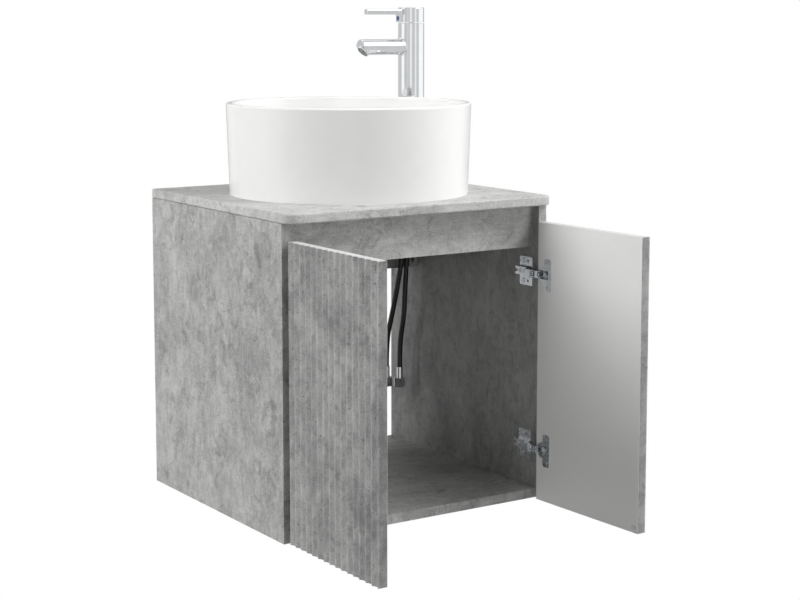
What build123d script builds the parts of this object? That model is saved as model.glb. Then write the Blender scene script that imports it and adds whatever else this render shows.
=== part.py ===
from build123d import *
import os
from math import atan2, cos, degrees, hypot, pi, radians, sin, tan

os.makedirs("parts", exist_ok=True)

# Wall-hung vanity unit: cabinet with two fluted doors, round vessel basin, tall tap.
# Millimetres. X to the right, Y towards the wall, Z up. The origin is the middle of
# the four wall bolts, so the wall is the plane Y = 0 and the front faces -Y.

# Cabinet
width = 480.0
body_depth = 427.0
body_height = 472.0
board = 15.0
bolts_below_worktop = 115.0
worktop_thickness = 15.0
worktop_overhang = 18.0
worktop_corner_radius = 18.0
worktop_edge_radius = 2.5
front_rail_height = 68.0
front_rail_setback = 15.0
rear_rail_height = 139.0
rear_rail_gap = 67.0

# Doors, closed they lie in front of the carcass
finger_gap = 26.0
door_reveal = 1.0
door_centre_gap = 3.0
door_body_gap = 2.0
door_inner_radius = 2.0
flute_count = 15
flute_depth = 3.2
flute_land = 1.0
left_open_deg = 90.0
right_open_deg = 92.0
bumper_inset = 9.0
bumper_radius = 4.0
bumper_thickness = 1.6
pivot_from_side = 9.1
pivot_from_front = 15.0

# Cup hinges
hinge_from_door_end = 82.5
cup_radius = 13.0
cup_tab = 4.0
cup_depth = 11.0
cup_wall = 0.9
cup_floor = 0.6
cup_fit = 0.05
cup_window_height = 13.6
cup_window_end = 10.0
flange_thickness = 1.0
flange_width = 15.0
flange_height = 52.0
flange_offset = 8.0
flange_corner_radius = 4.0
cup_screw_spacing = 39.0
cup_screw_radius = 1.6
cup_screw_head_radius = 3.0
cup_screw_head = 0.8
cup_screw_length = 9.0
plate_thickness = 1.6
plate_start = 13.5
plate_length = 32.5
plate_height = 46.0
plate_corner_radius = 2.5
plate_hole_first = 25.0
plate_hole_step = 12.0
plate_hole_spacing = 32.0
plate_screw_head_radius = 4.0
plate_screw_head = 1.2
plate_screw_radius = 2.3
plate_screw_length = 10.5
rib_width = 9.0
arm_wall = 1.2
arm_back = 50.0
arm_front = 0.6
arm_top = 7.8
arm_ramp_back = 20.0
arm_ramp_front = 12.0
arm_side = 1.0
arm_foot_gap = 0.3
arm_slot_width = 5.0
arm_slot_length = 6.0
arm_screw_from_front = (27.0, 38.0)
arm_screw_radius = 2.0
arm_screw_head_radius = 3.0
arm_screw_head = 1.4
arm_screw_length = 6.0
pin_radius = 1.0
pin_clearance = 0.06
eye_radius = 1.75
eye_room = 0.3
link_side_room = 0.3
outer_plate = 1.0
outer_half_height = 5.3
outer_half_width = 1.25
neck_offset = 1.0
neck_half_thickness = 0.45
neck_share = 0.93
inner_half_height = 2.6
inner_half_width = 1.1

# Bends of the two hinge links with the door open at a right angle: in from the side, out
# in front of the carcass. The first point is the link's own pin. The turn is how far the
# link swings back while the door shuts.
outer_bends = ((30.0, -2.5), (26.2, 1.5), (27.1, 15.0), (18.9, 17.0))
outer_turn = 35.3
inner_bends = ((29.0, -7.0), (24.6, -0.3), (25.5, 14.7), (18.6, 15.8))
inner_turn = 29.7

# Carcass fittings
cam_radius = 7.5
cam_depth = 12.0
cam_from_end = 24.0
cam_clearance = 0.1
cam_slot_width = 1.6
cam_slot_depth = 1.5
cam_bolt_radius = 3.0
cam_bolt_in_side = 10.0
cam_bolt_end_gap = 1.5
dowel_radius = 4.0
dowel_length = 30.0
dowel_in_side = 10.0
dowel_chamfer = 0.8
edge_round = 0.8
block_leg = 22.0
block_width = 26.0
block_wall = 4.0
block_from_front = 90.0
block_from_rail = 70.0
block_screw_step = 6.0
block_screw_radius = 1.9
block_screw_head_radius = 3.6
block_screw_head = 2.0
block_screw_bite = 10.0
screw_clearance = 0.1

# Hangers behind the rear rail and plates on the wall
hanger_thickness = 14.0
hanger_height = 64.0
hanger_wall_gap = 12.0
hanger_rail_gap = 1.0
hanger_above_hook = 6.0
hanger_screw_radius = 2.3
hanger_screw_bite = 10.0
hanger_screw_head_radius = 4.0
hanger_screw_head = 2.4
hanger_flange = 4.0
hanger_corner_radius = 4.0
adjuster_radius = 3.0
adjuster_length = 20.0
hook_thickness = 3.0
hook_width = 9.0
hook_length = 34.0
hook_drop = 12.0
hook_clearance = 0.3
hook_seat = 0.05
wall_plate_width = 48.0
wall_plate_side_gap = 2.0
wall_plate_thickness = 2.0
wall_plate_low = -28.0
wall_plate_step = 24.0
wall_plate_top = 38.0
wall_plate_offset = 8.0
wall_bolt_rise = 15.0
wall_bolt_hole_radius = 3.25
access_hole_radius = 4.0
access_hole_from_side = 8.0
access_hole_rise = 12.0

# Basin
basin_side_gap = 45.0
basin_taper = 5.0
basin_height = 144.0
basin_rim = 9.0
basin_rim_round = 3.5
basin_floor = 20.0
basin_wall_low = 18.0
basin_inner_round = 48.0
basin_outer_round = 10.0
basin_foot_ring = 26.0
basin_foot_recess = 2.0
basin_fall = 6.0

# Waste
waste_hole_radius = 23.0
waste_tube_radius = 20.95
waste_bore_radius = 17.0
waste_flange_radius = 32.0
waste_flange_thickness = 3.0
waste_flange_room = 0.3
waste_below_worktop = 52.0
waste_seal_thickness = 3.0
waste_seal_radius = 30.0
waste_nut_height = 10.0
waste_nut_across_flats = 55.0
waste_nut_fit = 0.05
plug_radius = 29.5
plug_thickness = 6.0
plug_edge_round = 2.0
plug_lift = 8.0
plug_seat_gap = 0.3
plug_stem_radius = 4.0
plug_stem_length = 40.0
plug_guide_fit = 0.06
guide_radius = 7.0
guide_height = 10.0
guide_below_flange = 16.0
guide_arm_width = 3.0

# Tap, sizes up from the worktop
tap_from_right = 44.0
tap_from_wall = 107.0
tap_radius = 22.25
tap_rim_height = 268.0
tap_hole_radius = 17.5
tap_edge_round = 0.6
base_seal_thickness = 1.5
base_seal_width = 4.0
spout_radius = 13.2
spout_rise = 227.7
spout_reach = 102.5
spout_cut_reach = 101.0
spout_bore_radius = 8.0
spout_bore_start = 12.5
spout_bore_end = 90.0
spout_fillet = 3.5
spout_end_round = 2.0
collar_radius = 10.8
collar_length = 3.0
aerator_radius = 9.4
aerator_fit = 0.05
aerator_depth = 9.0
aerator_recess = 1.0
aerator_hole_radius = 0.8
base_bore_radius = 18.0
base_bore_height = 90.0
riser_radius = 5.1
port_radius = 3.0
port_back = 13.5
cartridge_radius = 17.3
cartridge_fit = 0.1
cartridge_height = 24.0
cartridge_nut_height = 6.0
cartridge_nut_room = 0.5
spindle_radius = 9.0
spindle_height = 14.0
spindle_fit = 0.08
spindle_floor_gap = 0.2
spindle_slot_length = 15.0
spindle_slot_width = 7.0
stem_size = 5.4
stem_length = 14.0
stem_boss_radius = 6.0
stem_boss_gap = 4.0
cap_gap = 1.2
cap_radius = 22.0
cap_height = 24.8
cap_wall = 2.2
cap_top_round = 1.6
lever_reach = 90.7
lever_thickness = 9.2
lever_width = 11.0
lever_below_top = 2.8
lever_edge_round = 1.2
lever_top_round = 3.0
boss_reach = 27.0
boss_fillet = 4.0
dot_radius = 4.0
dot_rise = 6.4
dot_thickness = 0.8
dot_proud = 0.2
dot_fit = 0.05

# Tap fixing and hoses
stud_radius = 3.0
stud_forward = 10.0
stud_in_body = 14.0
stud_length = 62.0
stud_boss_radius = 6.5
thread_fit = 0.05
washer_thickness = 3.0
washer_width = 50.0
washer_front = 24.0
washer_back = 16.0
washer_slot_width = 26.0
washer_slot_front = 1.0
washer_corner_radius = 4.0
fixing_nut_across_flats = 10.0
fixing_nut_height = 12.0
hose_radius = 4.5
hose_spacing = 12.0
hose_back = 6.0
hose_bend = 0.45
tail_radius = 5.0
tail_length = 12.0
tail_hex_across_flats = 10.0
tail_hex_height = 12.0
ferrule_radius = 5.6
ferrule_length = 22.0
end_collar_radius = 7.3
end_collar_height = 3.0
union_across_flats = 19.0
union_height = 16.0
union_ceiling = 3.0
union_bore_radius = 7.8
union_room = 0.1
union_pocket = 3.2

# Routes of the two hoses, chosen by hand, from one ferrule to the other
hose_routes = {
    "hot": [
        (190.0, -101.0, 187.5),
        (190.0, -101.0, 140.0),
        (189.5, -101.5, 90.0),
        (186.0, -103.0, 40.0),
        (181.0, -101.0, -8.0),
        (178.5, -90.0, -58.0),
        (177.5, -76.0, -106.0),
        (176.0, -60.0, -153.0),
        (176.0, -60.0, -200.0),
    ],
    "cold": [
        (202.0, -101.0, 187.5),
        (202.0, -101.0, 139.0),
        (201.5, -101.5, 88.0),
        (197.5, -101.0, 38.0),
        (193.0, -97.5, -12.0),
        (191.5, -95.0, -62.0),
        (192.0, -91.0, -110.0),
        (192.5, -77.0, -156.0),
        (192.5, -77.0, -200.0),
    ],
}

# Places worked out from the sizes
side_x = width / 2
inner_x = side_x - board
front_y = -body_depth
top_z = bolts_below_worktop
bottom_z = top_z - body_height
worktop_top = top_z + worktop_thickness
worktop_depth = body_depth + worktop_overhang
front_rail_y = front_y + front_rail_setback
rear_rail_y = -rear_rail_gap - board
rear_rail_low = top_z - rear_rail_height
access_z = rear_rail_low + access_hole_rise
door_width = (width - 2 * door_reveal - door_centre_gap) / 2
door_height = body_height - finger_gap
door_top = bottom_z + door_height
door_inner_w = door_body_gap
door_outer_w = door_body_gap + board
open_degs = {"left": left_open_deg, "right": right_open_deg}
hinge_zs = {"upper": door_top - hinge_from_door_end, "lower": bottom_z + hinge_from_door_end}
pivot = (pivot_from_side, pivot_from_front)
cup_u = door_reveal + cup_tab + cup_radius
flange_u = cup_u + flange_offset
flange_w = door_inner_w - flange_thickness
basin_x = 0.0
basin_y = -worktop_depth / 2
basin_radius = side_x - basin_side_gap
basin_foot_radius = basin_radius - basin_taper
basin_inner_foot_radius = basin_radius - basin_wall_low
tap_x = side_x - tap_from_right
tap_y = -tap_from_wall
tap_base_z = worktop_top + base_seal_thickness


def left(point):
    """A left hinge's point: how far in from the cabinet's side, and out in front of the carcass."""
    return (-side_x + point[0], front_y - point[1])


def finish(part, name):
    """Label a finished piece and write it."""
    part.label = name
    export_step(part, f"parts/{name}.step")


def for_hand(part, hand):
    """A left-hand piece as it is, or mirrored for the right."""
    return part if hand == "left" else mirror(part, about=Plane.YZ)


def turned(part, point, degrees_left):
    """A left-hand piece turned anticlockwise, seen from above, about an upright axis."""
    return part.rotate(Axis((*left(point), 0), (0, 0, 1)), degrees_left)


def across(sign, x, y, z):
    """Plane at x on one side of the cabinet, looking outwards along X."""
    return Plane(origin=(sign * x, y, z), x_dir=(0, sign, 0), z_dir=(sign, 0, 0))


def downwards(x, y, z):
    """Plane that looks down from a point."""
    return Plane(origin=(x, y, z), x_dir=(1, 0, 0), z_dir=(0, 0, -1))


def upwards(x, y, z):
    """Plane that looks up from a point."""
    return Plane(origin=(x, y, z), x_dir=(1, 0, 0), z_dir=(0, 0, 1))


def peg(plane, radius, length):
    """Add a round peg that stands on a plane to the piece being built."""
    with BuildSketch(plane) as end:
        Circle(radius)
    extrude(end.sketch, amount=length)


def drill(plane, radius, depth):
    """Cut a round hole from a plane, along its normal, in the piece being built."""
    with BuildSketch(plane) as mouth:
        Circle(radius)
    extrude(mouth.sketch, amount=depth, mode=Mode.SUBTRACT)


def hexagon(plane, across_flats, height):
    """Add a hexagonal prism that stands on a plane to the piece being built."""
    with BuildSketch(plane) as end:
        RegularPolygon(across_flats / 2, 6, major_radius=False)
    extrude(end.sketch, amount=height)


def screw(plane, head_radius, head_height, shank_radius, length):
    """Add a screw whose head stands up from a plane and whose shank goes down from it."""
    peg(plane, head_radius, head_height)
    peg(Plane(origin=plane.origin, x_dir=plane.x_dir, z_dir=-plane.z_dir), shank_radius, length)
    with BuildSketch(plane.offset(head_height)) as cross:
        Rectangle(head_radius, head_radius * 0.28)
        Rectangle(head_radius * 0.28, head_radius)
    extrude(cross.sketch, amount=-head_height / 2, mode=Mode.SUBTRACT)


# Joints of the carcass: depth and height of each cam and dowel, at both ends of a board
bottom_mid_z = bottom_z + board / 2
front_rail_mid_z = top_z - front_rail_height / 2
rear_rail_mid_z = top_z - rear_rail_height / 2
front_rail_mid_y = front_rail_y + board / 2
rear_rail_mid_y = rear_rail_y + board / 2
cam_spots = {
    "bottom": [(front_y * 0.86, bottom_mid_z), (front_y * 0.14, bottom_mid_z)],
    "front": [(front_rail_mid_y, front_rail_mid_z - front_rail_height * 0.2)],
    "rear": [
        (rear_rail_mid_y, rear_rail_mid_z - rear_rail_height * 0.2),
        (rear_rail_mid_y, rear_rail_mid_z + rear_rail_height * 0.3),
    ],
}
dowel_spots = {
    "bottom": [(front_y * 0.76, bottom_mid_z), (front_y * 0.24, bottom_mid_z)],
    "front": [(front_rail_mid_y, front_rail_mid_z + front_rail_height * 0.25)],
    "rear": [(rear_rail_mid_y, rear_rail_mid_z + rear_rail_height * 0.05)],
}
all_cams = [spot for spots in cam_spots.values() for spot in spots]
all_dowels = [spot for spots in dowel_spots.values() for spot in spots]


def cam_plane(board_name, sign, y, z):
    """Plane on the hidden face of the board that a cam is pressed into."""
    x = sign * (inner_x - cam_from_end)
    if board_name == "bottom":
        return upwards(x, y, bottom_z)
    return Plane(origin=(x, y + board / 2, z), x_dir=(1, 0, 0), z_dir=(0, -1, 0))


def cut_board_ends(board_name):
    """Cut the cam, bolt and dowel holes in both ends of the board being built."""
    for sign in (-1, 1):
        for y, z in cam_spots[board_name]:
            drill(cam_plane(board_name, sign, y, z), cam_radius + cam_clearance, cam_depth + cam_clearance)
            drill(across(sign, inner_x - cam_from_end, y, z), cam_bolt_radius + cam_clearance, cam_from_end)
        for y, z in dowel_spots[board_name]:
            depth = dowel_length - dowel_in_side + cam_clearance
            drill(across(sign, inner_x - depth, y, z), dowel_radius + cam_clearance, depth)


# Corner blocks and hangers: places that their screws share with the panels
block_ys = (front_y + block_from_front, rear_rail_y - block_from_rail)
block_mid = block_leg / 2
hanger_top = wall_plate_top + hook_seat + hook_thickness + hanger_above_hook
hanger_z = hanger_top - hanger_height / 2
hanger_front_y = -rear_rail_gap + hanger_rail_gap
hanger_depth = -hanger_wall_gap - hanger_front_y
hanger_mid_y = (hanger_front_y - hanger_wall_gap) / 2
hanger_face_x = inner_x - hanger_thickness
hanger_screw_zs = (hanger_z - hanger_height * 0.1, hanger_z + hanger_height * 0.2)
wall_plate_x = inner_x - wall_plate_side_gap - wall_plate_width / 2
hook_x = hanger_face_x + hanger_thickness / 2

# Side panels
for sign, hand in ((-1, "left"), (1, "right")):
    with BuildPart() as side_panel:
        with BuildSketch(across(sign, inner_x, front_y / 2, (top_z + bottom_z) / 2)):
            Rectangle(body_depth, body_height)
        extrude(amount=board)
        fillet(side_panel.edges().filter_by(Axis.Z).group_by(Axis.Y)[0], edge_round)
        for y, z in all_cams:
            drill(across(sign, inner_x, y, z), cam_bolt_radius, cam_bolt_in_side + cam_clearance)
        for y, z in all_dowels:
            drill(across(sign, inner_x, y, z), dowel_radius + cam_clearance, dowel_in_side + cam_clearance)
        for hinge_z in hinge_zs.values():
            for rise in (-plate_hole_spacing / 2, plate_hole_spacing / 2):
                y = front_y + plate_hole_first + plate_hole_step
                drill(across(sign, inner_x, y, hinge_z + rise), plate_screw_radius, plate_screw_length)
        for y in block_ys:
            drill(across(sign, inner_x, y + block_screw_step, top_z - block_mid),
                  block_screw_radius, block_screw_bite)
        for z in hanger_screw_zs:
            drill(across(sign, inner_x, hanger_mid_y, z), hanger_screw_radius, hanger_screw_bite)
    finish(side_panel.part, f"side_panel_{hand}")

# Bottom panel
with BuildPart() as bottom_panel:
    with BuildSketch(upwards(0, front_y / 2, bottom_z)):
        Rectangle(2 * inner_x, body_depth)
    extrude(amount=board)
    fillet(bottom_panel.edges().filter_by(Axis.X).group_by(Axis.Y)[0], edge_round)
    cut_board_ends("bottom")
finish(bottom_panel.part, "bottom_panel")

# Front rail, behind the finger gap
with BuildPart() as front_rail:
    with BuildSketch(downwards(0, front_rail_mid_y, top_z)):
        Rectangle(2 * inner_x, board)
    extrude(amount=front_rail_height)
    cut_board_ends("front")
finish(front_rail.part, "front_rail")

# Rear rail, with a hole in front of each hanger's adjusting screw
with BuildPart() as rear_rail:
    with BuildSketch(downwards(0, rear_rail_mid_y, top_z)):
        Rectangle(2 * inner_x, board)
    extrude(amount=rear_rail_height)
    cut_board_ends("rear")
    for sign in (-1, 1):
        hole_x = sign * (inner_x - access_hole_from_side)
        drill(Plane(origin=(hole_x, rear_rail_y, access_z), x_dir=(1, 0, 0), z_dir=(0, 1, 0)),
              access_hole_radius, board)
finish(rear_rail.part, "rear_rail")

# Cams, cam bolts and dowels
with BuildPart() as cam_locks:
    for board_name, spots in cam_spots.items():
        for sign in (-1, 1):
            for y, z in spots:
                face = cam_plane(board_name, sign, y, z)
                peg(face, cam_radius, cam_depth)
                drill(across(sign, inner_x - cam_from_end, y, z),
                      cam_bolt_radius + 2 * cam_clearance, cam_from_end)
                with BuildSketch(face) as cross_slot:
                    Rectangle(cam_radius, cam_slot_width)
                    Rectangle(cam_slot_width, cam_radius)
                extrude(cross_slot.sketch, amount=cam_slot_depth, mode=Mode.SUBTRACT)
finish(cam_locks.part, "cam_locks")

with BuildPart() as cam_bolts:
    for sign in (-1, 1):
        for y, z in all_cams:
            peg(across(sign, inner_x - cam_from_end + cam_bolt_end_gap, y, z),
                cam_bolt_radius - cam_clearance, cam_from_end - cam_bolt_end_gap + cam_bolt_in_side)
finish(cam_bolts.part, "cam_bolts")

with BuildPart() as wood_dowels:
    for sign in (-1, 1):
        for y, z in all_dowels:
            peg(across(sign, inner_x - dowel_length + dowel_in_side, y, z), dowel_radius, dowel_length)
    chamfer(wood_dowels.edges().filter_by(GeomType.CIRCLE), dowel_chamfer)
finish(wood_dowels.part, "wood_dowels")

# Worktop
with BuildPart() as worktop:
    with BuildSketch(upwards(0, -worktop_depth / 2, top_z)) as worktop_plan:
        Rectangle(width, worktop_depth)
        fillet(worktop_plan.vertices().group_by(Axis.Y)[0], worktop_corner_radius)
    extrude(amount=worktop_thickness)
    rims = worktop.faces().filter_by(Plane.XY).edges()
    fillet([edge for edge in rims if edge.center().Y < -worktop_edge_radius], worktop_edge_radius)
    drill(upwards(basin_x, basin_y, top_z), waste_hole_radius, worktop_thickness)
    drill(upwards(tap_x, tap_y, top_z), tap_hole_radius, worktop_thickness)
    for block_y in block_ys:
        for sign in (-1, 1):
            drill(upwards(sign * (inner_x - block_mid), block_y - block_screw_step, top_z),
                  block_screw_radius, block_screw_bite)
finish(worktop.part, "worktop")

# Corner blocks that hold the worktop to the side panels, and their screws
block_head_drop = block_wall + block_screw_head
with BuildPart() as corner_blocks:
    for sign in (-1, 1):
        for block_y in block_ys:
            end_y = block_y + sign * block_width / 2
            with BuildSketch(Plane(origin=(sign * inner_x, end_y, top_z),
                                   x_dir=(-sign, 0, 0), z_dir=(0, -sign, 0))):
                Polygon((0, 0), (block_leg, 0), (block_leg, block_wall),
                        (block_wall, block_leg), (0, block_leg), align=None)
            extrude(amount=block_width)
            below = upwards(sign * (inner_x - block_mid), block_y - block_screw_step, top_z - block_leg)
            drill(below, block_screw_head_radius + screw_clearance, block_leg - block_wall)
            drill(below, block_screw_radius + screw_clearance, block_leg)
            inside = across(sign, inner_x - block_leg, block_y + block_screw_step, top_z - block_mid)
            drill(inside, block_screw_head_radius + screw_clearance, block_leg - block_wall)
            drill(inside, block_screw_radius + screw_clearance, block_leg)
finish(corner_blocks.part, "corner_blocks")

with BuildPart() as corner_block_screws:
    for sign in (-1, 1):
        for block_y in block_ys:
            spots = (
                downwards(sign * (inner_x - block_mid), block_y - block_screw_step, top_z - block_wall),
                across(-sign, -inner_x + block_wall, block_y + block_screw_step, top_z - block_mid),
            )
            for spot in spots:
                screw(spot, block_screw_head_radius, block_screw_head,
                      block_screw_radius - screw_clearance, block_wall + block_screw_bite - 1)
finish(corner_block_screws.part, "corner_block_screws")

# Hangers: a body on each side panel, a steel hook in it, and its screws
hook_low_z = wall_plate_top + hook_seat
hook_front_y = -wall_plate_offset - wall_plate_thickness - hook_length
hook_rear_y = -wall_plate_offset + hook_clearance + hook_thickness
with BuildPart() as hangers:
    for sign in (-1, 1):
        with BuildSketch(across(sign, hanger_face_x, hanger_mid_y, hanger_z)):
            RectangleRounded(hanger_depth, hanger_height, hanger_corner_radius)
        extrude(amount=hanger_thickness)
        slot_middle = (sign * hook_x, hook_front_y / 2, hook_low_z + hook_thickness / 2)
        with BuildSketch(Plane(origin=slot_middle, x_dir=(1, 0, 0), z_dir=(0, 1, 0))):
            Rectangle(hook_width + 2 * hook_seat, hook_thickness + 2 * hook_seat)
        extrude(amount=hook_front_y / 2, both=True, mode=Mode.SUBTRACT)
        for z in hanger_screw_zs:
            face = across(sign, hanger_face_x, hanger_mid_y, z)
            drill(face, hanger_screw_head_radius + screw_clearance, hanger_thickness - hanger_flange)
            drill(face, hanger_screw_radius + screw_clearance, hanger_thickness)
        drill(Plane(origin=(sign * hook_x, hanger_front_y, access_z), x_dir=(1, 0, 0), z_dir=(0, 1, 0)),
              adjuster_radius + screw_clearance, adjuster_length + screw_clearance)
finish(hangers.part, "hangers")

with BuildPart() as hanger_hooks:
    for sign in (-1, 1):
        with BuildSketch(Plane(origin=(sign * hook_x, 0, 0), x_dir=(0, 1, 0), z_dir=(1, 0, 0))):
            Polygon(
                (hook_front_y, hook_low_z),
                (hook_rear_y - hook_thickness, hook_low_z),
                (hook_rear_y - hook_thickness, wall_plate_top - hook_drop),
                (hook_rear_y, wall_plate_top - hook_drop),
                (hook_rear_y, hook_low_z + hook_thickness),
                (hook_front_y, hook_low_z + hook_thickness),
                align=None,
            )
        extrude(amount=hook_width / 2, both=True)
finish(hanger_hooks.part, "hanger_hooks")

with BuildPart() as hanger_screws:
    for sign in (-1, 1):
        for z in hanger_screw_zs:
            seat = across(-sign, -inner_x + hanger_flange, hanger_mid_y, z)
            screw(seat, hanger_screw_head_radius, hanger_screw_head,
                  hanger_screw_radius - screw_clearance, hanger_flange + hanger_screw_bite - 1)
        peg(Plane(origin=(sign * hook_x, hanger_front_y, access_z), x_dir=(1, 0, 0), z_dir=(0, 1, 0)),
            adjuster_radius, adjuster_length)
        with BuildSketch(Plane(origin=(sign * hook_x, hanger_front_y, access_z),
                               x_dir=(1, 0, 0), z_dir=(0, 1, 0))) as cross_slot:
            Rectangle(adjuster_radius, cam_slot_width / 2)
            Rectangle(cam_slot_width / 2, adjuster_radius)
        extrude(cross_slot.sketch, amount=cam_slot_depth, mode=Mode.SUBTRACT)
finish(hanger_screws.part, "hanger_screws")

# Plates screwed to the wall, which the hooks grip
with BuildPart() as wall_plates:
    for sign in (-1, 1):
        step_y = -wall_plate_offset - wall_plate_thickness
        with BuildSketch(Plane(origin=(sign * wall_plate_x, 0, 0), x_dir=(0, 1, 0), z_dir=(1, 0, 0))):
            Polygon(
                (0, wall_plate_low),
                (0, wall_plate_step),
                (-wall_plate_offset, wall_plate_step),
                (-wall_plate_offset, wall_plate_top),
                (step_y, wall_plate_top),
                (step_y, wall_plate_step - wall_plate_thickness),
                (-wall_plate_thickness, wall_plate_step - wall_plate_thickness),
                (-wall_plate_thickness, wall_plate_low),
                align=None,
            )
        extrude(amount=wall_plate_width / 2, both=True)
        for rise in (-wall_bolt_rise, wall_bolt_rise):
            drill(Plane(origin=(sign * wall_plate_x, 0, rise), x_dir=(1, 0, 0), z_dir=(0, -1, 0)),
                  wall_bolt_hole_radius, wall_plate_thickness)
finish(wall_plates.part, "wall_plates")

# Doors, built shut on the left, then swung open and mirrored
flute_pitch = door_width / flute_count
flute_edges = [door_reveal + flute_pitch * i for i in range(flute_count + 1)]
cup_bore_radius = cup_radius + cup_fit
for hand, open_deg in open_degs.items():
    with BuildPart() as door:
        with BuildSketch(upwards(0, 0, bottom_z)):
            with BuildLine() as outline:
                here = (flute_edges[0], door_outer_w)
                Line(left((flute_edges[0], door_inner_w)), left(here))
                for start, end in zip(flute_edges[:-1], flute_edges[1:]):
                    rise = (start + flute_land / 2, door_outer_w)
                    dip = ((start + end) / 2, door_outer_w - flute_depth)
                    fall = (end - flute_land / 2, door_outer_w)
                    Line(left(here), left(rise))
                    ThreePointArc(left(rise), left(dip), left(fall))
                    here = fall
                Polyline(left(here), left((flute_edges[-1], door_outer_w)),
                         left((flute_edges[-1], door_inner_w)), left((flute_edges[0], door_inner_w)))
            make_face()
        extrude(amount=door_height)
        inner_edges = door.edges().filter_by(Axis.Z).group_by(Axis.Y)[-1]
        fillet(inner_edges.sort_by(Axis.X)[0], door_inner_radius)
        for hinge_z in hinge_zs.values():
            cup_face = Plane(origin=(*left((cup_u, door_inner_w)), hinge_z),
                             x_dir=(1, 0, 0), z_dir=(0, -1, 0))
            drill(cup_face, cup_bore_radius, cup_depth + cup_fit)
            for rise in (-cup_screw_spacing / 2, cup_screw_spacing / 2):
                screw_face = Plane(origin=(*left((flange_u, door_inner_w)), hinge_z + rise),
                                   x_dir=(1, 0, 0), z_dir=(0, -1, 0))
                drill(screw_face, cup_screw_radius, cup_screw_length)
    finish(for_hand(turned(door.part, pivot, -open_deg), hand), f"door_{hand}")

# Bumpers on the free lower corners of the doors
for hand, open_deg in open_degs.items():
    with BuildPart() as bumper:
        spot = left((door_reveal + door_width - bumper_inset, door_inner_w))
        face = Plane(origin=(*spot, bottom_z + board / 2), x_dir=(1, 0, 0), z_dir=(0, 1, 0))
        peg(face, bumper_radius, bumper_thickness)
        fillet(bumper.faces().sort_by(Axis.Y)[-1].edges(), bumper_thickness / 2)
    finish(for_hand(turned(bumper.part, pivot, -open_deg), hand), f"door_bumper_{hand}")

# Hinge plates, arms and cups
plate_mid = plate_start + plate_length / 2
plate_screw_back = plate_hole_first + plate_hole_step
arm_low_u = board + arm_top
arm_high_u = outer_bends[0][0] + eye_radius + eye_room + arm_wall
arm_foot_u = board + plate_thickness + arm_foot_gap
arm_half_height = outer_half_height + link_side_room + arm_side
rib_height = arm_top - plate_thickness - arm_wall


def on_panel(height, back, hinge_z):
    """Plane at a height above the left panel's inner face, looking in, at a place behind its front."""
    return Plane(origin=(-inner_x + height, front_y + back, hinge_z), x_dir=(0, 1, 0), z_dir=(1, 0, 0))


def slab(points, hinge_z, low, high):
    """Add a left-hand flat piece of hinge, from its outline, between two heights beside the hinge."""
    with BuildSketch(upwards(0, 0, hinge_z + low)) as outline:
        Polygon(*[left(point) for point in points], align=None)
    extrude(outline.sketch, amount=high - low)


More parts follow.
